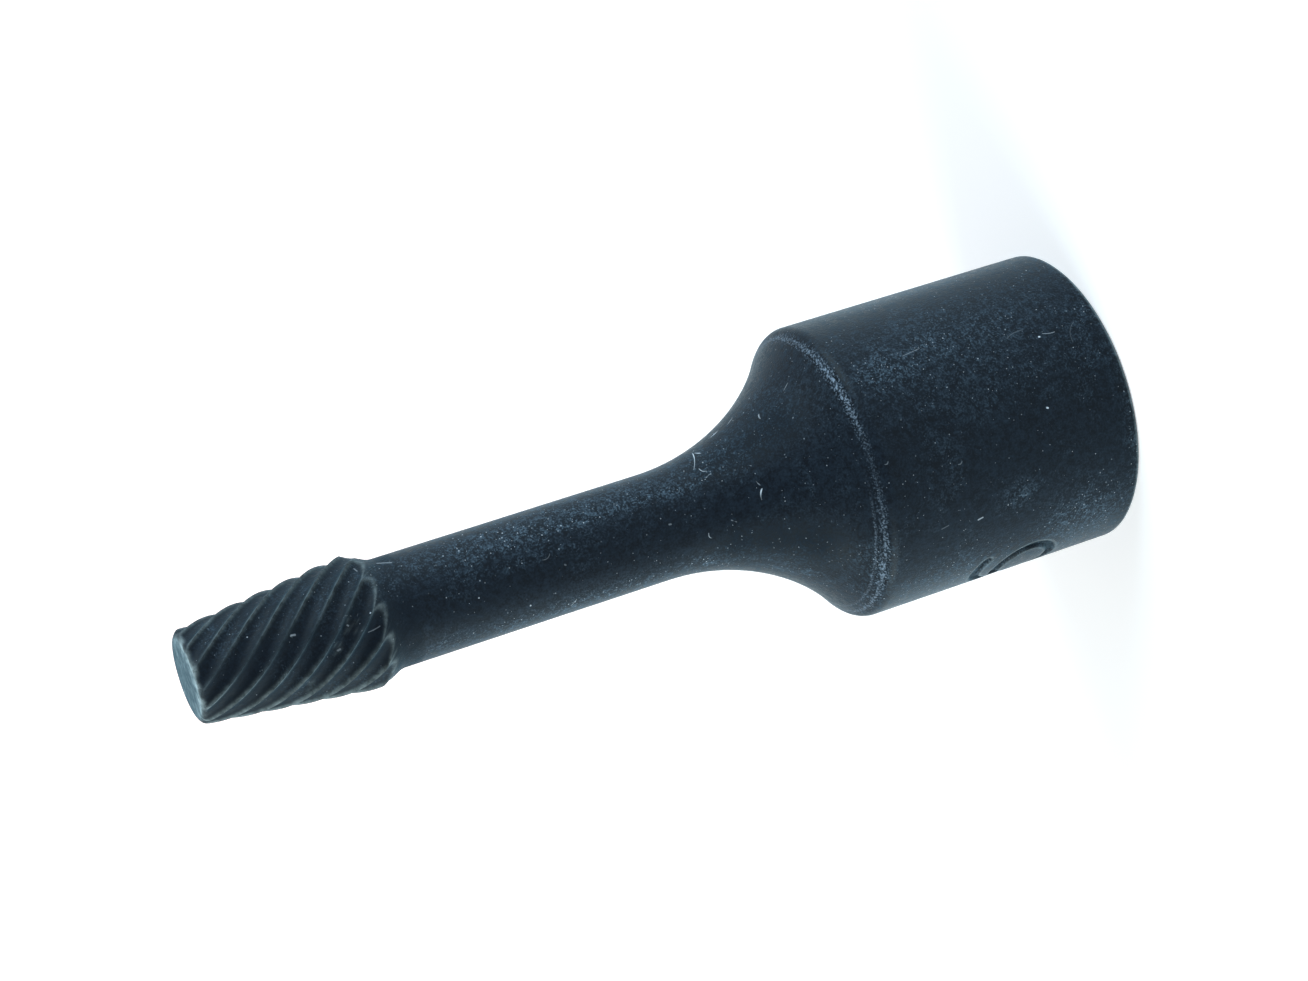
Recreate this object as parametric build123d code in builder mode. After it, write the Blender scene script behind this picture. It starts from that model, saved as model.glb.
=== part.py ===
from build123d import *

import os
from math import atan2, degrees, radians, sqrt, tan

# Screw extractor, one piece of alloy steel, standing on its drive end.
# The origin is the centre of the drive end's face, and +Z runs to the fluted tip.
# All sizes are in millimetres.

# Round barrel that holds the drive socket
barrel_diameter = 18.0
barrel_length = 16.33
rim_chamfer = 0.1

# Shoulder, and the long hollow flare down to the shank
shoulder_round = 0.8
flare_radius = 13.7
shank_diameter = 6.44
shank_length = 16.93

# Tapered tip, measured over the crests, and the slope that leads up to it
slope_length = 1.47
slope_foot_round = 1.2
slope_top_round = 0.35
tip_length = 10.22
tip_large_diameter = 7.86
tip_small_diameter = 5.5
tip_edge_round = 0.6

# Left-hand spiral flutes, cut by a round-nosed cutter that follows the taper.
# The nose is drawn with flats, so that each flute has a few plain helical faces.
flute_count = 13
flute_lead = 22.3
flute_radius = 0.64
flute_flats = 12
flute_depth_large = 0.42
flute_depth_small = 0.26
flute_overrun = 0.8
flute_clear = 0.1
flute_turn = 21.9

# Square socket for the driver
drive_square = 9.53
drive_clearance = 0.1
drive_corner_round = 0.4
drive_depth = 11.5
mouth_diameter = 12.2
relief_diameter = 9.2
relief_depth = 2.5
drill_point_angle = 118.0

# Groove across the socket's flats for the driver's spring ball, with 45 degree sides
detent_height = 5.5
detent_width = 2.4
detent_depth = 0.5

# Radii and heights that follow from the sizes above
barrel_radius = barrel_diameter / 2
shank_radius = shank_diameter / 2
tip_large_radius = tip_large_diameter / 2
tip_small_radius = tip_small_diameter / 2

shoulder_centre_radius = barrel_radius - shoulder_round
flare_centre_radius = shank_radius + flare_radius
flare_step = flare_centre_radius - shoulder_centre_radius
flare_height = sqrt((shoulder_round + flare_radius) ** 2 - flare_step**2)
flare_angle = degrees(atan2(flare_height, flare_step))

flare_end = barrel_length + flare_height
slope_start = flare_end + shank_length
tip_start = slope_start + slope_length
overall_length = tip_start + tip_length

# The cutter's centre runs above the flute floor by its own radius
cutter_large_radius = tip_large_radius - flute_depth_large + flute_radius
cutter_small_radius = tip_small_radius - flute_depth_small + flute_radius
cutter_taper = (cutter_small_radius - cutter_large_radius) / tip_length
cutter_run_in = slope_length + flute_overrun
cutter_start = tip_start - cutter_run_in
cutter_start_radius = cutter_large_radius - cutter_taper * cutter_run_in
cutter_travel = cutter_run_in + tip_length + flute_overrun

socket_square = drive_square + drive_clearance
mouth_radius = mouth_diameter / 2
mouth_depth = mouth_radius - socket_square / 2
relief_radius = relief_diameter / 2
drill_point_height = relief_radius / tan(radians(drill_point_angle / 2))
detent_outer_radius = socket_square / 2 + detent_depth
detent_inner_radius = socket_square / 2 - detent_depth
detent_floor_half = detent_width / 2 - detent_depth
detent_mouth_half = detent_width / 2 + detent_depth


# One flute's worth of removed steel: a slim bar bent into a tapering left-hand helix
with BuildPart() as flute_cutter:
    with BuildLine() as cutter_path:
        Helix(
            flute_lead,
            cutter_travel,
            cutter_start_radius,
            center=(0, 0, cutter_start),
            cone_angle=degrees(atan2(cutter_taper, 1)),
            lefthand=True,
        )
    with BuildSketch(Plane(origin=cutter_path.line @ 0, x_dir=(1, 0, 0), z_dir=cutter_path.line % 0)):
        RegularPolygon(flute_radius, flute_flats, major_radius=False, rotation=180 / flute_flats)
        # Only the side that faces the axis cuts, so the outer side is left out
        with Locations((flute_radius + flute_clear / 2, 0)):
            Rectangle(2 * flute_radius, 4 * flute_radius, mode=Mode.SUBTRACT)
    sweep(is_frenet=True)


with BuildPart() as extractor:
    # Turned blank: half of its outline, revolved about the axis
    with BuildSketch(Plane.XZ):
        with BuildLine():
            Polyline(
                (0, 0),
                (barrel_radius - rim_chamfer, 0),
                (barrel_radius, rim_chamfer),
                (barrel_radius, barrel_length),
            )
            CenterArc((shoulder_centre_radius, barrel_length), shoulder_round, 0, flare_angle)
            CenterArc((flare_centre_radius, flare_end), flare_radius, 180 + flare_angle, -flare_angle)
            FilletPolyline(
                (shank_radius, flare_end),
                (shank_radius, slope_start),
                (tip_large_radius, tip_start),
                (tip_small_radius, overall_length),
                (0, overall_length),
                radius=(slope_foot_round, slope_top_round, tip_edge_round),
            )
            Line((0, overall_length), (0, 0))
        make_face()
    revolve(axis=Axis.Z)

    # Spiral flutes, running out over the slope at one end and the tip's face at the other
    with PolarLocations(0, flute_count, start_angle=flute_turn):
        add(flute_cutter.part, mode=Mode.SUBTRACT)

    # Drilled hole with a coned mouth and a drill point, under the square
    with BuildSketch(Plane.XZ):
        with BuildLine():
            Polyline(
                (0, 0),
                (mouth_radius, 0),
                (mouth_radius - mouth_depth, mouth_depth),
                (relief_radius, mouth_depth),
                (relief_radius, drive_depth + relief_depth),
                (0, drive_depth + relief_depth + drill_point_height),
                close=True,
            )
        make_face()
    revolve(axis=Axis.Z, mode=Mode.SUBTRACT)

    # Square drive
    with BuildSketch(Plane.XY):
        RectangleRounded(socket_square, socket_square, drive_corner_round)
    extrude(amount=drive_depth, mode=Mode.SUBTRACT)

    # Ball groove, turned inside the square, so that it shows in the middle of each flat
    with BuildSketch(Plane.XZ):
        with BuildLine():
            Polyline(
                (detent_inner_radius, detent_height - detent_mouth_half),
                (detent_outer_radius, detent_height - detent_floor_half),
                (detent_outer_radius, detent_height + detent_floor_half),
                (detent_inner_radius, detent_height + detent_mouth_half),
                close=True,
            )
        make_face()
    revolve(axis=Axis.Z, mode=Mode.SUBTRACT)

extractor.part.label = "screw_extractor"

os.makedirs("parts", exist_ok=True)
export_step(extractor.part, "parts/screw_extractor.step")
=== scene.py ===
from functools import partial
from math import atan2, pi, radians, sqrt, tan

import bpy
import numpy as np
from mathutils import Matrix, Vector


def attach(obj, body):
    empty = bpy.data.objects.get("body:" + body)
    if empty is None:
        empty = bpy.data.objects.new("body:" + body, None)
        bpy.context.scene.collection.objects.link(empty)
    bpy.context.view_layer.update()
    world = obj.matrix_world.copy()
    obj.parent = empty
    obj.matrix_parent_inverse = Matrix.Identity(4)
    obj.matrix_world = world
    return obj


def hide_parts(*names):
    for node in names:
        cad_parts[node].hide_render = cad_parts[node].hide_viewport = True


# Screw extractor: one turned, broached and fluted piece of steel, seen by the photograph's camera.
# Shapes are worked out in millimetres and put into their meshes in metres.

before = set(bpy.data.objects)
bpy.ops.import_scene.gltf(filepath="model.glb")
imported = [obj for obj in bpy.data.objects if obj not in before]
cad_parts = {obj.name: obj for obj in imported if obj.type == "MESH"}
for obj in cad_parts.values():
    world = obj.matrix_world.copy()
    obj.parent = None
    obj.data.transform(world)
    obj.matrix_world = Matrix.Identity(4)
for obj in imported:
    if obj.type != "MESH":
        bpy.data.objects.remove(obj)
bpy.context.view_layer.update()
mm = 0.001


def linear(code):  # sRGB hex to linear light
    parts = [int(code[i:i + 2], 16) / 255 for i in (1, 3, 5)]
    return tuple(c / 12.92 if c < 0.04045 else ((c + 0.055) / 1.055) ** 2.4 for c in parts)


def addNode(tree, kind, settings=None, **inputs):  # inputs are values, or sockets to link from
    made = tree.nodes.new(kind)
    for key, value in (settings or {}).items():
        setattr(made, key, value)
    for key, value in inputs.items():
        # in2 is the third input, and any other key is an input's name
        entry = made.inputs[int(key[2:])] if key.startswith("in") else made.inputs[key.replace("_", " ")]
        if isinstance(value, bpy.types.NodeSocket):
            tree.links.new(value, entry)
        else:
            entry.default_value = value
    return made


def mathNode(tree, operation, *values, clamp=False):
    inputs = {"in%d" % i: value for i, value in enumerate(values)}
    return addNode(tree, "ShaderNodeMath", {"operation": operation, "use_clamp": clamp}, **inputs).outputs[0]


def vectorNode(tree, operation, *values, **named):
    inputs = {"in%d" % i: value for i, value in enumerate(values)}
    return addNode(tree, "ShaderNodeVectorMath", {"operation": operation}, **inputs, **named).outputs


def rangeNode(tree, value, low, high, least=0.0, most=1.0):  # least at low, most at high, held beyond them
    return addNode(tree, "ShaderNodeMapRange", Value=value, From_Min=low, From_Max=high,
                   To_Min=least, To_Max=most).outputs[0]


def nodeMakers(tree):
    return partial(mathNode, tree), partial(vectorNode, tree), partial(rangeNode, tree)


def clamped(value):
    return np.clip(value, 0, 1)


def eased(share):  # 0 to 1, level at both ends
    share = clamped(share)
    return share * share * (3 - 2 * share)


def bell(value):
    return np.exp(-value**2)


def folded(angle, full=2 * pi):  # the same direction, at most half a turn either way
    return (angle + full / 2) % full - full / 2


# The tool's shape, in mm unless a note says otherwise

barrel = {
    "radius": 9.0,
    "length": 16.33,
    "rimChamfer": 0.1,
    "shoulderRound": 0.8,
    "flareRadius": 13.7,
    "shankRadius": 3.22,
    "shankLength": 16.93,
    "rimBand": 0.25,  # rows are close together up to here
    "rimWear": 1.3,  # strength of the bare line on the drive end's edge
    "rimWearHalf": 0.08,
    "rimDust": 0.4,
    "rimDustHigh": 0.8,
    "creaseHeight": 17.12,  # where the shoulder meets the flare and the finish is rubbed
    "creaseReach": 1.5,  # rows this near to it carry its strengths
    "creaseAngles": (-180, -120, -80, -50, -30, -14, 0, 12, 25, 40, 55, 75, 120, 180),
    "creaseStrengths": (0.3, 0.5, 0.45, 0.6, 0.5, 0.2, 0.12, 0.4, 0.8, 0.8, 0.5, 0.4, 0.4, 0.3),
    "mattAndShade": 0.9,  # strength of a band on either side of the flare that is matter and carries painted shade
    "mattHeights": (18.6, 26.5),
    "mattAngle": 42,  # degrees from the front to its middle, and its half width
    "mattHalf": 19,
}

tip = {
    "slopeLength": 1.47,
    "footRound": 1.2,
    "topRound": 0.3,
    "length": 10.22,
    "largeRadius": 3.93,
    "smallRadius": 2.75,
    "edgeRound": 0.6,
    "flutes": 13,
    "lead": 22.3,  # left-hand
    "crestHeight": 51.84,  # a crest crosses the front at this height
    "cutterRadius": 0.67,
    "depthLarge": 0.42,
    "depthSmall": 0.26,
    "crestSoftness": 0.09,
    "crestDrop": 0.6,  # how much of a full smooth blend the crests are lowered by
    "columnsPerFlute": 28,
    "columnPull": 0.55,  # how far a flute's columns close up at its crests
    "easeStart": 30.0,  # from this height the columns ease back to even spacing
    "twistStart": 43.6,
    "ridgeHalf": 0.11,  # either side of a crest the finish is pale, partly worn and partly a painted highlight
    "ridgeWearAndHighlight": 0.75,
    # the crests' painted highlight is weaker by this much in front
    "ridgeLessInFront": 0.65,
    "frontHalf": 0.6,  # radians
    "ridgeMoreBelow": 0.9,  # painted highlight added on the side that is the lower one as the camera sees it
    "belowStart": 0.3,  # radians from the front, and how many more until it is whole
    "belowSpan": 0.5,
    "runOutHalf": 0.09,  # worn line where the flutes run out on the slope
    "runOutWear": 0.6,
    "faceWear": 0.85,
    "ringWear": 4.5,  # chipped bare ring on the edge of the end's face, with a painted highlight that is strongest on its near side
    "ringRadius": 2.12,
    "ringHalf": 0.34,
    "ringRagged": 0.14,  # the ring's half width swings by this much, in waves round the edge
    "ringWaves": (11, 4),
    "ringDrop": 0.35,  # it starts this far below the end and is whole after the rise
    "ringRise": 0.2,
    "wallDark": 0.85,  # painted shade in a flute, whole at this depth below its crest
    "wallDepth": 0.07,
    "floorPaler": 0.4,  # and less dark by this much from one depth to the other
    "floorDepths": (0.12, 0.27),
    "darkStart": 0.3,  # radians from the front, where it is half as dark, and how many more until it is whole
    "darkSpan": 0.4,
    "edgeDark": (1.95, 2.15),  # radii between which painted shade darkens the far side of the end's edge
    "knockWear": 0.25,  # on a ring round each knock
    "knocks": [  # degrees round, mm up, degrees wide, mm high, mm deep
        (-52, 50.6, 6, 0.18, 0.16),
        (-17, 48.7, 4, 0.16, 0.10),
        (2, 47.9, 5, 0.20, 0.12),
        (-2, 47.3, 4, 0.24, 0.10),
    ],
}

twist = 2 * pi / tip["lead"]  # radians a mm

socket = {
    "half": 4.815,
    "cornerRound": 0.4,
    "depth": 11.5,
    "mouthRadius": 6.1,
    "reliefRadius": 4.6,
    "reliefDepth": 2.5,
    "pointAngle": 118,
    "grooveHeight": 5.5,
    "grooveHalf": 1.2,
    "grooveDepth": 0.5,
}

rowCounts = {  # rows of the surface in each run of the outline, from the drive end to the tip
    "rimChamfer": 2,
    "rim": 3,
    "belowDigit": 8,
    "digit": 58,
    "aboveDigit": 8,
    "shoulder": 10,
    "flareStart": 8,
    "flare": 22,
    "shank": 10,
    "headLines": (4, 12, 36, 4),
    "headArcs": (8, 8, 12),
}

dust = [  # degrees round, mm up, degrees wide, mm high, strength
    (31, 14.0, 9, 2.2, 1.0),
    (36, 10.5, 8, 2.4, 0.8),
    (34, 9.0, 26, 9.0, 0.45),
    (76, 8.0, 9, 7.0, 0.8),
    (-31, 8.3, 6, 1.1, 0.7),
    (-60, 3.6, 18, 3.0, 1.3),
    (-70, 12.5, 16, 5.0, 1.1),
    (-50, 17.3, 12, 0.9, 0.8),
    (-60, 22.5, 12, 3.0, 0.4),
    (-72, 21.0, 9, 2.6, 0.9),
    (72, 21.0, 8, 2.4, 0.4),
    (31, 26.8, 9, 1.5, 1.2),
    (32, 28.4, 8, 1.6, 1.1),
    (34, 32.5, 9, 4.0, 1.3),
    (31, 37.5, 9, 3.4, 1.0),
    (9, 36.5, 7, 4.0, 0.45),
    (45, 34.5, 24, 12.0, 0.8),
    (72, 32.0, 12, 9.0, 0.9),
    (-66, 33.5, 18, 11.0, 1.1),
    (150, 9.0, 25, 3.0, 0.7),
    (-150, 13.0, 20, 2.5, 0.8),
    (-140, 33.0, 25, 6.0, 0.7),
    (120, 20.0, 20, 2.5, 0.6),
    (175, 28.0, 16, 3.0, 0.8),
]

digit = {
    "angle": -75.0,  # degrees round from the front, middle of the bowl
    "height": 6.85,  # middle of the bowl, up the barrel
    "bowl": (2.04, 1.85),  # half width and half height of the bowl's stroke
    "stemShift": 0.71,
    "stem": (2.75, 3.5),
    "stemFrom": 62,
    "strokeHalf": 0.2,
    "wall": 0.16,
    "depth": 0.2,
    "lipAway": 0.06,  # a pale line runs this far outside the wall
    "lipHalf": 0.07,
    "lipWear": 0.6,
    "rowsBelow": 2.3,  # finer rows from this far below the middle to this far above it
    "rowsAbove": 4.0,
    "columnPull": 3.6,  # how much closer the columns are beside the digit
    "columnReach": 0.4,  # radians either side
    "columnFade": 0.035,
}


def line(start, end, count):  # points after start, up to and with end
    t = np.linspace(0, 1, count + 1)[1:, None]
    return np.array(start) * (1 - t) + np.array(end) * t


def arc(centre, radius, angles):  # points after the first angle; a hollow arc has a negative radius
    a = angles[1:, None]
    return np.hstack([centre[0] + radius * np.cos(a), centre[1] + radius * np.sin(a)])


def rounded(corners, rounds, lineCounts, arcCounts):
    # straight runs between corners of (radius, height), each corner replaced by its tangent arc
    points = [np.array([corners[0]], float)]
    for i in range(1, len(corners) - 1):
        a, b, c = (np.array(corners[j], float) for j in (i - 1, i, i + 1))
        into, out = (b - a) / np.linalg.norm(b - a), (c - b) / np.linalg.norm(c - b)
        turn = np.arctan2(into[0] * out[1] - into[1] * out[0], into @ out)
        cut = rounds[i - 1] * tan(abs(turn) / 2)
        points.append(line(points[-1][-1], b - into * cut, lineCounts[i - 1]))
        side = np.array([-into[1], into[0]]) * np.sign(turn)
        centre = b - into * cut + side * rounds[i - 1]
        t = np.linspace(0, turn, arcCounts[i - 1] + 1)[1:, None]
        points.append(centre - side * np.cos(t) * rounds[i - 1] + into * np.sin(abs(t)) * rounds[i - 1])
    points.append(line(points[-1][-1], corners[-1], lineCounts[-1]))
    return np.vstack(points)


def outerProfile():
    # the turned outline from the drive end's face to the tip's centre, as rows of (radius, height)
    b, t, counts = barrel, tip, rowCounts
    shoulderRadius = b["radius"] - b["shoulderRound"]
    flareCentre = b["shankRadius"] + b["flareRadius"]
    rise = sqrt((b["shoulderRound"] + b["flareRadius"]) ** 2 - (flareCentre - shoulderRadius) ** 2)
    bend = atan2(rise, flareCentre - shoulderRadius)
    flareEnd = b["length"] + rise
    slopeStart = flareEnd + b["shankLength"]
    tipStart = slopeStart + t["slopeLength"]
    end = tipStart + t["length"]

    start = (b["radius"] - b["rimChamfer"], 0)
    runs = []
    for key, height in (
        ("rimChamfer", b["rimChamfer"]),
        ("rim", b["rimBand"]),
        ("belowDigit", digit["height"] - digit["rowsBelow"]),
        ("digit", digit["height"] + digit["rowsAbove"]),
        ("aboveDigit", b["length"]),
    ):
        runs.append(line(start, (b["radius"], height), counts[key]))
        start = (b["radius"], height)
    angles = np.linspace(0, bend, counts["shoulder"] + 1)
    runs.append(arc((shoulderRadius, b["length"]), b["shoulderRound"], angles))
    finer = np.linspace(bend, bend - 0.1, counts["flareStart"] + 1)
    angles = np.concatenate([finer, np.linspace(bend - 0.1, 0, counts["flare"] + 1)[1:]])
    runs.append(arc((flareCentre, flareEnd), -b["flareRadius"], angles))
    runs.append(line((b["shankRadius"], flareEnd), (b["shankRadius"], t["twistStart"]), counts["shank"]))
    head = rounded(
        [
            (b["shankRadius"], t["twistStart"]),
            (b["shankRadius"], slopeStart),
            (t["largeRadius"], tipStart),
            (t["smallRadius"], end),
            (0.4, end),
        ],
        (t["footRound"], t["topRound"], t["edgeRound"]),
        counts["headLines"],
        counts["headArcs"],
    )
    return np.vstack([*runs, head[1:]]), tipStart, end


def squareRadius(angle):
    # distance from the axis to a square with rounded corners, in each direction
    away = np.abs(folded(angle, pi / 2))
    centre = socket["half"] - socket["cornerRound"]
    flat = socket["half"] / np.cos(away)
    across = np.clip(socket["cornerRound"] ** 2 - (centre * (np.sin(away) - np.cos(away))) ** 2, 0, None)
    corner = centre * (np.cos(away) + np.sin(away)) + np.sqrt(across)
    return np.where(flat * np.sin(away) > centre, corner, flat)


def socketRows(angle):
    # rows from the drill point out to the mouth and over the end's face: radius and height for every column
    s = socket
    square = squareRadius(angle)
    top = s["depth"] + s["reliefDepth"]
    point = top + s["reliefRadius"] / tan(radians(s["pointAngle"] / 2))
    rows = []
    for f in np.linspace(0.06, 1, 5):
        rows.append((s["reliefRadius"] * f, point + (top - point) * f))
    for z in np.linspace(top, s["depth"], 4)[1:]:
        rows.append((s["reliefRadius"], z))
    for f in (0.5, 1):
        rows.append((s["reliefRadius"] + (square - s["reliefRadius"]) * f, s["depth"]))
    high, low = s["grooveHeight"] + s["grooveHalf"], s["grooveHeight"] - s["grooveHalf"]
    for z in np.linspace(s["depth"], high, 4)[1:]:
        rows.append((square, z))
    for z in np.linspace(high, low, 17)[1:]:
        ring = s["half"] + min(s["grooveDepth"], s["grooveHalf"] - abs(z - s["grooveHeight"]))
        rows.append((np.maximum(square, ring), z))
    mouthDepth = s["mouthRadius"] - s["half"]
    for z in np.linspace(low, mouthDepth, 3)[1:]:
        rows.append((square, z))
    for z in np.linspace(mouthDepth, 0, 11)[1:]:
        rows.append((np.maximum(square, s["mouthRadius"] - z), z))
    mouth, rim = np.maximum(square, s["mouthRadius"]), barrel["radius"] - barrel["rimChamfer"]
    for f in (0.33, 0.66, 1):
        rows.append((mouth + (rim - mouth) * f, 0))
    return rows, point


def digitDepth(angle, height):
    # a stamped 6: an oval bowl, and a longer oval arc that leaves its left side and hooks over to the right
    d = digit
    x = barrel["radius"] * (angle - radians(d["angle"]))
    t = np.linspace(0, 2 * pi, 120)
    bowl = np.stack([d["bowl"][0] * np.cos(t), d["bowl"][1] * np.sin(t)], 1)
    t = np.linspace(radians(d["stemFrom"]), pi, 90)
    stem = np.stack([d["stemShift"] + d["stem"][0] * np.cos(t), d["stem"][1] * np.sin(t)], 1)
    near = np.full(x.shape, 9.0)
    for px, pz in np.vstack([bowl, stem]):
        near = np.minimum(near, np.hypot(x - px, height - d["height"] - pz))
    groove = 1 - eased((near - d["strokeHalf"]) / d["wall"])
    lip = bell((near - d["strokeHalf"] - d["wall"] - d["lipAway"]) / d["lipHalf"])
    return groove, lip


def layColumns():
    # Angles of the columns on the barrel, where they are drawn together round the digit, and on the tip,
    # where they are drawn together at the crests. The phase is 0 on a flute's floor and pi at its crests.
    t = tip
    x = np.tile(np.linspace(-1, 1, t["columnsPerFlute"], endpoint=False), t["flutes"])
    phase = pi * (x + t["columnPull"] * np.sin(pi * x) / pi)
    flute = np.repeat(np.arange(t["flutes"]), t["columnsPerFlute"])
    onTip = 2 * pi / t["flutes"] * (flute + phase / (2 * pi) + 0.5)
    onTip = (onTip + twist * (t["crestHeight"] - t["twistStart"])) % (2 * pi)
    order = np.argsort(onTip)
    onTip, phase = onTip[order], phase[order]
    fine = np.linspace(0, 2 * pi, 2001)
    beyond = np.abs(folded(fine - radians(digit["angle"]))) - digit["columnReach"]
    density = 1 + digit["columnPull"] / (1 + np.exp(beyond / digit["columnFade"]))
    walk = np.concatenate([[0], np.cumsum((density[1:] + density[:-1]) / 2)])
    onBarrel = np.interp(onTip, walk / walk[-1] * 2 * pi, fine)
    return onBarrel, onTip, phase


def flutedRow(r, z, angle, phase, tipStart, end):
    # one row of the tip: the turned radius r cut by the flutes, where the finish is worn or has a painted
    # highlight, and where shade is painted
    t = tip
    along = (z - tipStart) / t["length"]
    crest = t["largeRadius"] + (t["smallRadius"] - t["largeRadius"]) * along
    floor = crest - t["depthLarge"] + (t["depthLarge"] - t["depthSmall"]) * along
    # distances across the flute, square to its run, from the middle of its floor and from its crest
    middle = (crest + floor) / 2
    slant = sqrt(1 + (twist * middle) ** 2)
    across = np.abs(phase) / t["flutes"] * middle / slant
    fromCrest = (pi - np.abs(phase)) / t["flutes"] * middle / slant
    # the cutter's round section, with steep sides above it, blended into the turned radius
    inside = np.clip(t["cutterRadius"] ** 2 - across**2, 0, None)
    flute = floor + t["cutterRadius"] - np.sqrt(inside) + np.clip(across - t["cutterRadius"], 0, None) * 3
    gap = flute - r
    blend = clamped(0.5 + gap / (2 * t["crestSoftness"]))
    row = flute * (1 - blend) + r * blend - t["crestDrop"] * t["crestSoftness"] * blend * (1 - blend)

    # pale along the crests, partly worn and partly a painted highlight that is least in front and strongest
    # on the lower side, and worn along the line where the flutes run out
    below = t["ridgeMoreBelow"] * clamped((-angle - t["belowStart"]) / t["belowSpan"])
    strength = t["ridgeWearAndHighlight"] + below - t["ridgeLessInFront"] * bell(angle / t["frontHalf"])
    paleRidge = bell(fromCrest / t["ridgeHalf"]) * clamped(z - tipStart + 1) * strength
    runOut = t["runOutWear"] * bell(gap / t["runOutHalf"]) * clamped((tipStart + 0.5 - z) / 0.5)
    # and worn on the end's face, with a chipped ring round it whose painted highlight makes it the paler on
    # the near side
    nearSide = 0.5 + 0.5 * np.cos(angle)
    many, few = t["ringWaves"]
    chipped = t["ringHalf"] + t["ringRagged"] * np.sin(angle * many) * np.sin(angle * few + 1)
    ring = nearSide**2 * bell((r - t["ringRadius"]) / chipped)
    ring = ring * clamped((z - end + t["ringDrop"]) / t["ringRise"])
    face = 0 * angle + (z > end - 0.01)
    wornAndHighlit = np.maximum(np.maximum(paleRidge, runOut), t["faceWear"] * face + t["ringWear"] * ring)

    # painted shade: the flutes, less so on their floors and in front, and the far side of the end's edge
    depth = crest - flute
    shallow, deep = t["floorDepths"]
    dark = t["wallDark"] * clamped(depth / t["wallDepth"])
    dark = dark - t["floorPaler"] * clamped((depth - shallow) / (deep - shallow))
    dark = dark * (0.5 + 0.5 * clamped((np.abs(angle) - t["darkStart"]) / t["darkSpan"])) * (z < end - 0.3)
    inner, outer = t["edgeDark"]
    dark = np.maximum(dark, (1 - nearSide) * clamped((r - inner) / (outer - inner)) * (z > end - 0.5))

    for angleAt, heightAt, wide, high, knocked in t["knocks"]:
        near = ((np.degrees(angle) - angleAt) / wide) ** 2 + ((z - heightAt) / high) ** 2
        row = row - knocked * np.exp(-near)
        wornAndHighlit = np.maximum(wornAndHighlit, t["knockWear"] * np.exp(-((near - 1.4) ** 2) / 0.4))
    return {"radius": row, "wear": wornAndHighlit, "hollow": dark, "face": face}


def extractorGrid():
    # One closed grid: rows run from the drill point, out over the drive end and up to the tip's centre,
    # and columns run round the axis and twist with the flutes.
    b, t = barrel, tip
    onBarrel, onTip, phase = layColumns()
    profile, tipStart, end = outerProfile()
    inner, point = socketRows(onBarrel)
    plain = 0 * onBarrel
    rows = [{"radius": plain + r, "height": plain + z, "angle": onBarrel} for r, z in inner]
    for r, z in profile:
        ease = eased((z - t["easeStart"]) / (t["twistStart"] - t["easeStart"]))
        angle = onBarrel + (onTip - onBarrel) * ease - twist * max(z - t["twistStart"], 0)
        fromFront = folded(angle)
        row = {"radius": plain + r, "height": plain + z, "angle": angle, "wear": plain}
        if abs(r - b["radius"]) < 1e-6 and z > 2:
            groove, lip = digitDepth(fromFront, z)
            row["radius"] = r - digit["depth"] * groove
            row["wear"] = digit["lipWear"] * lip
            # painted shade in the digit's groove
            row["hollow"] = groove
        if z > t["twistStart"]:
            row.update(flutedRow(r, z, fromFront, phase, tipStart, end))
        edge = b["rimWear"] * bell((z - b["rimChamfer"]) / b["rimWearHalf"])
        row["wear"] = np.maximum(row["wear"], edge)
        strengths = np.interp(np.degrees(fromFront), b["creaseAngles"], b["creaseStrengths"])
        row["crease"] = strengths * (abs(z - b["creaseHeight"]) < b["creaseReach"])
        rows.append(row)
    keys = ("radius", "height", "angle", "wear", "hollow", "crease", "face")
    grid = {key: np.array([row.get(key, plain) for row in rows]) for key in keys}
    grid["dust"] = dustOver(grid)
    # a band on the flare's sides, placed by angle from the front: rougher, with painted shade on its tone
    away = np.abs(folded(grid["angle"])) - radians(b["mattAngle"])
    low, high = b["mattHeights"]
    band = clamped((grid["height"] - low) / 1.2) * clamped((high - grid["height"]) / 2)
    grid["mattAndShade"] = b["mattAndShade"] * band * bell(away / radians(b["mattHalf"]))
    return grid, len(inner), point, end


def dustOver(grid):  # the strongest of the patches at each point, and some on the barrel above the rim
    dusty = 0 * grid["height"]
    for angleAt, heightAt, wide, high, strength in dust:
        off = folded(np.degrees(grid["angle"]) - angleAt, 360)
        patch = strength * np.exp(-((off / wide) ** 2) - ((grid["height"] - heightAt) / high) ** 2)
        dusty = np.maximum(dusty, patch)
    rim = barrel["rimDust"] * bell(grid["height"] / barrel["rimDustHigh"])
    return np.maximum(dusty, rim * (grid["radius"] > barrel["radius"] - 0.15))


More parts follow.
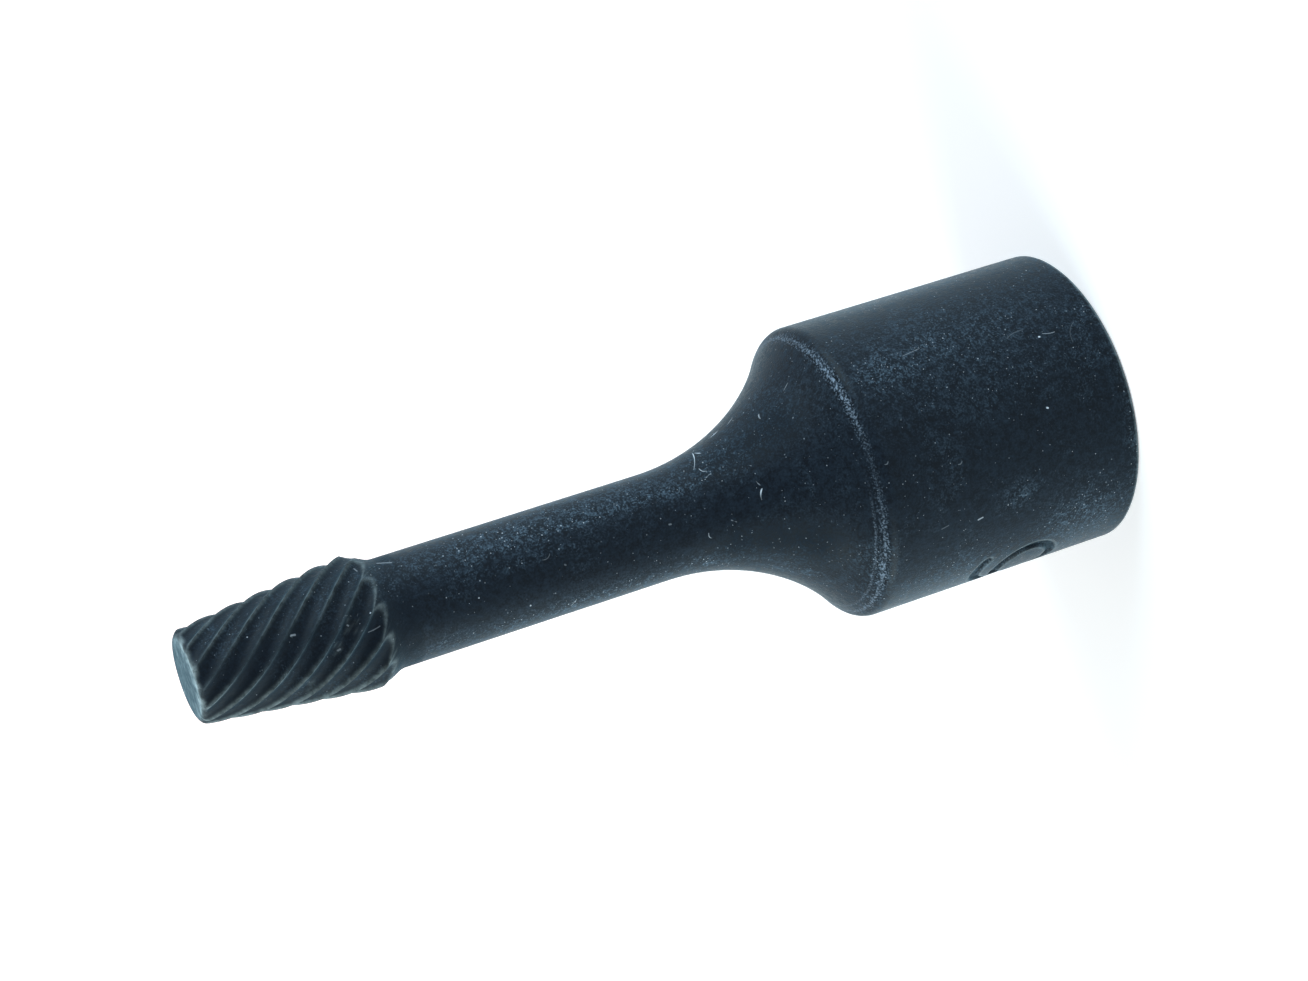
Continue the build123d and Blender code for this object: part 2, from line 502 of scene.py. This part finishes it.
def meshFromGrid(name, grid, fields, firstPole, lastPole):
    # vertex (r sin a, -r cos a, z) for every row and column, joined in quads, with a fan at each pole
    radius, angle, height = grid["radius"], grid["angle"], grid["height"]
    rows, columns = radius.shape
    points = np.stack([radius * np.sin(angle), -radius * np.cos(angle), height], 2).reshape(-1, 3)
    points = np.vstack([points, [[0, 0, firstPole], [0, 0, lastPole]]]) * mm
    i, j = np.meshgrid(np.arange(rows - 1), np.arange(columns), indexing="ij")
    here, above = i * columns, (i + 1) * columns
    k = (j + 1) % columns
    quads = np.stack([here + j, here + k, above + k, above + j], 2).reshape(-1, 4)
    j = np.arange(columns)
    k = (j + 1) % columns
    top = (rows - 1) * columns
    bottomFan = np.stack([0 * j + rows * columns, k, j], 1)
    topFan = np.stack([top + j, top + k, 0 * j + rows * columns + 1], 1)
    mesh = bpy.data.meshes.new(name)
    mesh.from_pydata(points.tolist(), [], quads.tolist() + bottomFan.tolist() + topFan.tolist())
    for key in fields:
        values = grid[key]
        layer = mesh.attributes.new(key, "FLOAT", "POINT")
        poles = [values[0].mean(), values[-1].mean()]
        layer.data.foreach_set("value", np.concatenate([values.ravel(), poles]).astype(np.float32))
    mesh.update()
    mesh.shade_smooth()
    mesh.set_sharp_from_angle(angle=radians(38))
    piece = bpy.data.objects.new(name, mesh)
    bpy.context.scene.collection.objects.link(piece)
    return piece


finishFields = ("wear", "hollow", "crease", "face", "dust", "mattAndShade")  # where the finish changes
grid, innerRows, socketEnd, tipEnd = extractorGrid()
extractor = meshFromGrid("extractor", grid, finishFields, socketEnd, tipEnd)
print("extractor", len(extractor.data.vertices), "vertices")


# Phosphated steel, with lengths in mm and strengths as shares

phosphate = {
    "deep": "#0a0f16",
    "grey": "#171f29",
    "sunk": "#060c13",
    "dusty": "#687a8b",
    "bare": "#a3adb0",
    "chalk": "#a9b8cd",
    "lint": "#d4dae6",
    "sheen": "#93cfe8",
    "grain": 0.12,  # between the finest grains that the render can show
    "clump": 0.4,  # across a clump of grains
    "stroke": 0.45,  # between the curls that dust was wiped into
    "cloud": 3.2,  # across a dusty patch
    "blotch": 0.55,  # across a blotch on the end's face
    "blotchShades": (-0.45, 0.4),
    "cloudDust": 0.4,
    "grainDust": 0.3,
    "strokeDust": 0.3,
    "wearCatch": (0.12, 0.36),  # how far wear shows, on the clumps' low and high places
    "secondLine": 0.36,  # from the shoulder's rubbed line up to the fainter one
    "lineWaver": 0.2,
    "lineHalves": (0.04, 0.09),  # whole up to the first distance and gone at the second
    "secondHalves": (0.03, 0.08),
    "haloHalves": (0.05, 0.27),
    "speckSpacing": 0.62,
    "speckRarity": 0.55,
    "speckSizes": (0.085, 0.0),  # range and least, in cells
    "speckStrength": 0.55,
    "sparkleSpacing": 0.2,
    "sparkleRarity": (0.84, 0.3),  # in clean and in dusty places
    "sparkleSizes": (0.14, 0.06),
    "sparkleStrength": (0.24, 0.55),
    "roughness": 0.42,
    "grainRoughness": (-0.1, 0.18),
    "extraRoughness": 0.3,  # in the matt bands, the hollows and on the end's face
    "bump": 0.8,
    "bumpHeight": 0.02,
    "specular": 0.06,
    "sheenWeight": 0.18,  # fine dust lights up at a glance
    "sheenRoughness": 0.4,
}

lint = [  # two ends in (degrees round, mm up), bow and width in mm, and strength of a fibre or fleck
    ((11.5, 22.52), (5, 22.27), 0.05, 0.05, 0.24),
    ((4.2, 22.24), (-4.7, 22.54), 0.1, 0.075, 0.75),
    ((-2.1, 20.17), (-4.2, 19.82), 0, 0.06, 0.22),
    ((-3.4, 19.85), (-5.9, 20.05), 0, 0.06, 0.18),
    ((7.8, 19.2), (3.4, 18.95), 0.05, 0.05, 0.45),
    ((72.2, 24.53), (45.7, 25.23), -0.1, 0.05, 0.61),
    ((71.4, 24.58), (59.4, 24.18), 0, 0.05, 0.63),
    ((44, 24.96), (37.5, 24.56), 0.15, 0.05, 0.39),
    ((76.9, 23.6), (77.9, 22.3), 0.05, 0.05, 0.85),
    ((25.2, 22.62), (21.9, 22.32), 0, 0.04, 0.21),
    ((-22.2, 25.82), (-28.3, 25.62), 0.1, 0.05, 0.36),
    ((-26, 19.3), (-29, 19.2), 0, 0.06, 0.22),
    ((-45, 19.3), (-44, 18.9), 0, 0.05, 0.45),
    ((55.6, 20.52), (51.6, 20.67), 0.05, 0.08, 0.33),
    ((48.5, 19.53), (46.5, 19.53), 0, 0.07, 0.21),
    ((76.4, 18.73), (71.4, 18.33), 0, 0.05, 0.09),
    ((26.3, 1.72), (18.8, 2.42), 0.2, 0.04, 0.062),
    ((25.6, 3.94), (24.8, 3.19), 0.05, 0.04, 0.26),
    ((28.1, 6.18), (29.7, 4.98), -0.1, 0.04, 0.075),
    ((34.4, 12.69), (35.4, 11.49), 0, 0.04, 0.15),
    ((-34.8, 13.64), (-34.2, 13.19), 0, 0.06, 0.088),
    ((-3.5, 16.54), (-2.9, 16.34), 0.05, 0.06, 0.14),
    ((-11.9, 12.07), (-11.3, 11.82), 0.05, 0.06, 0.12),
    ((-2, 5.62), (-2.2, 5.56), 0, 0.09, 0.85),
    ((-36.1, 11.18), (-35.7, 10.88), 0, 0.08, 0.39),
    ((24.8, 4.28), (24.7, 4.23), 0, 0.08, 0.85),
    ((9.2, 50.95), (8.9, 50.72), 0, 0.11, 0.3),
    ((1.9, 47.83), (1.0, 47.78), 0, 0.09, 0.2),
    ((-19.2, 48.7), (-18.5, 48.57), 0, 0.1, 0.2),
    ((55.8, 46.16), (52, 46.08), 0, 0.07, 0.15),
    ((11.1, 48.12), (8.6, 47.5), 0, 0.06, 0.1),
    ((8.5, 47.08), (1.2, 47), 0.15, 0.05, 0.07),
    ((-10.2, 46.83), (-8, 46.13), 0.03, 0.06, 0.15),
    ((62.7, 44.67), (55.7, 43.97), 0, 0.09, 0.18),
    ((-1.5, 28), (-1.8, 27.9), 0, 0.09, 0.17),
    ((-7.6, 34.73), (-8.4, 34.68), 0, 0.08, 0.12),
    ((3.7, 35.9), (7.3, 35.4), 0.1, 0.05, 0.088),
    ((-60.2, 34.6), (-52.2, 34.3), 0, 0.05, 0.21),
    ((160, 12), (167, 13.6), 0.3, 0.05, 0.2),
    ((-120, 24), (-112, 25.2), 0.25, 0.05, 0.2),
    ((115, 34), (140, 34.8), 0.2, 0.05, 0.17),
    ((-165, 5), (-158, 5.6), 0.1, 0.05, 0.17),
    ((68, 20.4), (63, 20.9), 0.05, 0.05, 0.3),
    ((62, 22.9), (58.5, 23.3), 0.03, 0.05, 0.25),
    ((79, 21.2), (74, 21.9), -0.05, 0.05, 0.35),
    ((55, 18.6), (52, 19.2), 0.04, 0.05, 0.2),
    ((-38, 21.9), (-42, 22.3), 0.04, 0.05, 0.2),
    ((-15, 24.4), (-18, 24.1), 0.0, 0.06, 0.2),
    ((17, 20.6), (15.4, 20.3), 0.0, 0.06, 0.2),
    ((33, 24.6), (31, 24.9), 0.0, 0.06, 0.22),
]

outer = {key: grid[key][innerRows:] for key in ("radius", "height", "angle")}


def onSurface(degreesRound, height):  # the nearest point of the outer rows, in metres
    away = folded(np.degrees(outer["angle"]) - degreesRound, 360)
    k = np.argmin((away * 0.07) ** 2 + (outer["height"] - height) ** 2)
    a = radians(degreesRound)
    r = outer["radius"].flat[k]
    return Vector((r * np.sin(a), -r * np.cos(a), height)) * mm


def phosphatedSteel():
    # Manganese phosphate over turned steel: near black with a blue cast, dull where it faces the eye and
    # pale at a glance along it, with a fine crystal grain, dust in patches, and bare steel on worn edges
    p = phosphate
    material = bpy.data.materials.new("phosphated steel")
    material.use_nodes = True
    tree = material.node_tree
    calc, vector, ramp = nodeMakers(tree)
    shader = tree.nodes["Principled BSDF"]
    where = addNode(tree, "ShaderNodeTexCoord").outputs["Object"]

    def noise(spacing, detail, roughness=0.5, bend=0.0):
        return addNode(tree, "ShaderNodeTexNoise", Vector=where, Scale=1 / (spacing * mm), Detail=detail,
                       Roughness=roughness, Distortion=bend).outputs["Fac"]

    def blend(share, first, second):
        mix = addNode(tree, "ShaderNodeMix", {"data_type": "RGBA"}, in0=share, in6=first, in7=second)
        return mix.outputs[2]

    def paint(name):
        return (*linear(p[name]), 1)

    def within(distance, halves, strength=1.0):  # whole up to the first of two distances, gone at the second
        return ramp(distance, halves[1] * mm, halves[0] * mm, 0.0, strength)

    def flecks(spacing, rarity, sizes, strength):  # a small pale dot in some cells of a Voronoi pattern
        cells = addNode(tree, "ShaderNodeTexVoronoi", Vector=where, Scale=1 / (spacing * mm)).outputs
        chance = addNode(tree, "ShaderNodeSeparateColor", Color=cells["Color"]).outputs
        chosen = calc("GREATER_THAN", chance["Red"], rarity)
        small = calc("LESS_THAN", cells["Distance"], calc("MULTIPLY_ADD", chance["Green"], *sizes))
        return calc("MULTIPLY", calc("MULTIPLY", chosen, small), calc("MULTIPLY", chance["Blue"], strength))

    def fibre(start, finish, bow, wide, strength):  # near to a bowed line between two points on the surface
        a, b = onSurface(*start), onSurface(*finish)
        run = b - a
        out = Vector((a.x + b.x, a.y + b.y, 0)).normalized()
        side = run.cross(out).normalized() * bow * mm
        side += onSurface((start[0] + finish[0]) / 2, (start[1] + finish[1]) / 2) - (a + b) / 2
        fromStart = vector("SUBTRACT", where, a)["Vector"]
        along = vector("DOT_PRODUCT", fromStart, run / run.length_squared)["Value"]
        along = calc("ADD", along, 0.0, clamp=True)
        hump = calc("MULTIPLY", along, calc("MULTIPLY_ADD", along, -4.0, 4.0))
        straight = vector("SCALE", run, Scale=along)["Vector"]
        centre = vector("ADD", straight, vector("SCALE", side, Scale=hump)["Vector"])["Vector"]
        away = vector("DISTANCE", fromStart, centre)["Value"]
        return within(away, (wide * 0.3, wide * 0.75), strength)

    grain = noise(p["grain"], 2.0)
    clump = noise(p["clump"], 4.0, 0.65, 0.4)
    cloud = noise(p["cloud"], 5.0, 0.6, 0.6)
    curl = noise(p["stroke"], 1.0, 0.5, 1.2)
    fields = {}
    for key in finishFields:
        fields[key] = addNode(tree, "ShaderNodeAttribute", {"attribute_name": key}).outputs["Fac"]

    # crystals: clumps and fine grain together set the tone between the two darks, less so in the hollows
    mixed = calc("MULTIPLY_ADD", grain, 0.8, clump)
    calm = calc("MULTIPLY_ADD", fields["hollow"], -1.3, 1.0)
    crystals = calc("MULTIPLY_ADD", calc("SUBTRACT", ramp(mixed, 0.72, 1.14), 0.45), calm, 0.45)
    # painted shade: the tone is darker in the matt bands on the flare's sides
    crystals = calc("MULTIPLY", crystals, calc("MULTIPLY_ADD", fields["mattAndShade"], -0.4, 1.0))
    tone = blend(crystals, paint("deep"), paint("grey"))
    # painted shade: a darker tone in the flutes, in the digit's groove and on the far side of the end's edge
    tone = blend(fields["hollow"], tone, paint("sunk"))

    # dust: on the clumps that stand up, and in short curled strokes, where a cloud or a patch is
    patch = calc("ADD", ramp(cloud, 0.5, 0.75, 0.0, p["cloudDust"]), fields["dust"], clamp=True)
    curls = ramp(calc("ABSOLUTE", calc("SUBTRACT", curl, 0.5)), 0.045, 0.015)
    strokes = calc("MULTIPLY", curls, ramp(grain, 0.45, 0.62))
    catching = calc("MULTIPLY_ADD", strokes, p["strokeDust"], ramp(mixed, 0.86, 1.18, 0.0, p["grainDust"]))
    dusted = blend(calc("MULTIPLY", patch, catching), tone, paint("dusty"))

    # bare steel where edges, crests and the end's face are worn, with a painted highlight along the crests
    # and on the near side of the end's edge
    rubbedAndHighlit = calc("MULTIPLY", fields["wear"], ramp(clump, 0.35, 0.65, *p["wearCatch"]))
    wornAndHighlit = blend(rubbedAndHighlit, dusted, paint("bare"))

    # chalky dots in a line along the shoulder, with a fainter line above it on the left
    axes = addNode(tree, "ShaderNodeSeparateXYZ", Vector=where).outputs
    lowest = (barrel["creaseHeight"] - p["lineWaver"] / 2) * mm
    above = calc("SUBTRACT", axes["Z"], calc("MULTIPLY_ADD", clump, p["lineWaver"] * mm, lowest))
    first = calc("ABSOLUTE", above)
    second = calc("ABSOLUTE", calc("SUBTRACT", above, p["secondLine"] * mm))
    fainter = calc("MULTIPLY", within(second, p["secondHalves"]), ramp(axes["X"], 0.0, -3 * mm, 0.0, 0.6))
    lines = calc("MAXIMUM", within(first, p["lineHalves"]), fainter)
    dots = calc("MULTIPLY", lines, ramp(grain, 0.46, 0.6, 0.05, 0.5))
    halo = calc("MULTIPLY", within(first, p["haloHalves"]), ramp(grain, 0.52, 0.64, 0.0, 0.6))
    dotted = calc("MULTIPLY", fields["crease"], calc("MAXIMUM", dots, halo))
    wornAndHighlit = blend(dotted, wornAndHighlit, paint("chalk"))

    # specks all over, sparkle dots that are partly dust and partly painted glints and are thicker in the
    # dusty patches, and lint
    pale = flecks(p["speckSpacing"], p["speckRarity"], p["speckSizes"], p["speckStrength"])
    thick = calc("MAXIMUM", patch, calc("MULTIPLY", fields["mattAndShade"], 0.35))
    rarity, strength = (ramp(thick, 0.0, 0.8, *p[key]) for key in ("sparkleRarity", "sparkleStrength"))
    sparkle = flecks(p["sparkleSpacing"], rarity, p["sparkleSizes"], strength)
    pale = calc("MAXIMUM", pale, calc("MULTIPLY", sparkle, calc("SUBTRACT", 1.0, fields["hollow"])))
    for entry in lint:
        pale = calc("MAXIMUM", pale, fibre(*entry))
    colour = blend(pale, wornAndHighlit, paint("lint"))

    # the end's face is blotchy
    blotch = ramp(noise(p["blotch"], 3.0), 0.35, 0.65, *p["blotchShades"])
    shade = calc("MULTIPLY_ADD", blotch, fields["face"], 1.0)
    tree.links.new(vector("SCALE", colour, Scale=shade)["Vector"], shader.inputs["Base Color"])

    roughness = ramp(mixed, 0.7, 1.15, *(p["roughness"] + change for change in p["grainRoughness"]))
    for key in ("mattAndShade", "hollow", "face"):
        roughness = calc("MULTIPLY_ADD", fields[key], p["extraRoughness"], roughness)
    tree.links.new(roughness, shader.inputs["Roughness"])
    bump = addNode(tree, "ShaderNodeBump", Strength=p["bump"], Distance=p["bumpHeight"] * mm, Height=mixed)
    tree.links.new(bump.outputs[0], shader.inputs["Normal"])
    shader.inputs["Specular IOR Level"].default_value = p["specular"]
    shader.inputs["Sheen Weight"].default_value = p["sheenWeight"]
    shader.inputs["Sheen Roughness"].default_value = p["sheenRoughness"]
    shader.inputs["Sheen Tint"].default_value = paint("sheen")
    return material


steel = phosphatedSteel()
extractor.data.materials.append(steel)
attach(extractor, "root")
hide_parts("screw_extractor")
print("steel")


# The camera, from fitting the turned outline to the photograph

view = {
    "place": (2.03910, -160.14579, 86.01663),  # mm
    "right": (-0.30370018, -0.32908493, -0.89413048),
    "up": (0.95276765, -0.10489772, -0.28500924),
    "back": (0.0, -0.93845596, 0.34539893),
    "lens": 80.257,
    "sensor": 36.0,
}

cameraData = bpy.data.cameras.new("camera")
cameraData.lens = view["lens"]
cameraData.sensor_width = view["sensor"]
cameraData.clip_start = 0.01
camera = bpy.data.objects.new("camera", cameraData)
turned = Matrix((view["right"], view["up"], view["back"])).transposed()
camera.matrix_world = Matrix.Translation(Vector(view["place"]) * mm) @ turned.to_4x4()
bpy.context.scene.collection.objects.link(camera)
bpy.context.scene.camera = camera
print("camera")


# The floor, the world and the lamps, in metres

studio = {
    "floorSize": 2.0,  # each way from the tool
    "floorDrop": 0.00002,  # below the drive end, so that the two faces don't meet
    "floor": "#f4f4f4",
    "glowSeen": (0.27, 0.85),  # white added for the eye alone, beside the tool and far from it
    "glowReach": (0.04, 0.25),  # distances from the tool at which those two hold
    "glowTint": (1.25, 1.0, 0.97),  # evens out the lamps' cool tint, so that the shadow is grey
    "glowMirrored": 0.6,
    "worldBehind": 0.7,  # plain light from behind and the sides
    "worldAhead": 0.0,  # the photographer's side of the room gives none
    "worldTurn": (-0.9, 0.3),  # from ahead to behind, as the direction's part along +Y
    "worldAbove": 0.45,  # share of it that comes from straight above
    "worldRise": (0.1, 0.9),  # from level to straight above, as the direction's part along +Z
    "lamps": {
        "above": {"place": (0.30, -0.08, 0.12), "size": 0.30, "power": 1.95, "tint": (0.70, 0.94, 1.04)},
        "below": {"place": (-0.30, -0.02, 0.10), "size": 0.30, "power": 2.0, "tint": (0.75, 0.95, 0.98)},
    },
    "lampAim": (0, 0, 0.03),
}


def layFloor():
    s = studio
    size, low = s["floorSize"], -s["floorDrop"]
    corners = [(-size, -size, low), (size, -size, low), (size, size, low), (-size, size, low)]
    mesh = bpy.data.meshes.new("floor")
    mesh.from_pydata(corners, [], [(0, 1, 2, 3)])
    floor = bpy.data.objects.new("floor", mesh)
    bpy.context.scene.collection.objects.link(floor)
    material = bpy.data.materials.new("pale floor")
    material.use_nodes = True
    tree = material.node_tree
    tree.nodes.clear()
    calc, vector, ramp = nodeMakers(tree)
    rays = addNode(tree, "ShaderNodeLightPath").outputs
    away = vector("LENGTH", addNode(tree, "ShaderNodeTexCoord").outputs["Object"])["Value"]
    seen = calc("MULTIPLY", rays["Is Camera Ray"], ramp(away, *s["glowReach"], *s["glowSeen"]))
    bounced = calc("MAXIMUM", rays["Is Glossy Ray"], rays["Is Transmission Ray"])
    mirrored = calc("MULTIPLY", bounced, s["glowMirrored"])
    surface = addNode(tree, "ShaderNodeBsdfDiffuse", Color=(*linear(s["floor"]), 1)).outputs[0]
    for tint, strength in ((s["glowTint"], seen), ((1.0, 1.0, 1.0), mirrored)):
        glow = addNode(tree, "ShaderNodeEmission", Color=(*tint, 1), Strength=strength).outputs[0]
        surface = addNode(tree, "ShaderNodeAddShader", in0=surface, in1=glow).outputs[0]
    addNode(tree, "ShaderNodeOutputMaterial", Surface=surface)
    mesh.materials.append(material)


def lightWorld():
    s = studio
    world = bpy.data.worlds.new("white room")
    world.use_nodes = True
    tree = world.node_tree
    tree.nodes.clear()
    calc, vector, ramp = nodeMakers(tree)
    rays = addNode(tree, "ShaderNodeLightPath").outputs
    seen = calc("MAXIMUM", rays["Is Camera Ray"], rays["Is Glossy Ray"])
    seen = calc("MAXIMUM", seen, rays["Is Transmission Ray"])
    towards = addNode(tree, "ShaderNodeTexCoord").outputs["Generated"]
    back = vector("DOT_PRODUCT", towards, (0, 1, 0))["Value"]
    rise = vector("DOT_PRODUCT", towards, (0, 0, 1))["Value"]
    around = ramp(back, *s["worldTurn"], s["worldAhead"], s["worldBehind"])
    level = calc("MULTIPLY", around, ramp(rise, *s["worldRise"], 1.0, s["worldAbove"]))
    level = calc("MAXIMUM", level, seen)
    room = addNode(tree, "ShaderNodeBackground", Color=(1, 1, 1, 1), Strength=level).outputs[0]
    addNode(tree, "ShaderNodeOutputWorld", Surface=room)
    bpy.context.scene.world = world


def hangLamps():
    for name, lamp in studio["lamps"].items():
        data = bpy.data.lights.new(name, "AREA")
        data.shape = "DISK"
        data.size = lamp["size"]
        data.energy = lamp["power"]
        data.color = lamp["tint"]
        thing = bpy.data.objects.new(name, data)
        thing.location = lamp["place"]
        aim = Vector(studio["lampAim"]) - thing.location
        thing.rotation_euler = aim.to_track_quat("-Z", "Y").to_euler()
        bpy.context.scene.collection.objects.link(thing)


layFloor()
lightWorld()
hangLamps()
bpy.context.scene.view_settings.view_transform = "Standard"
print("studio")
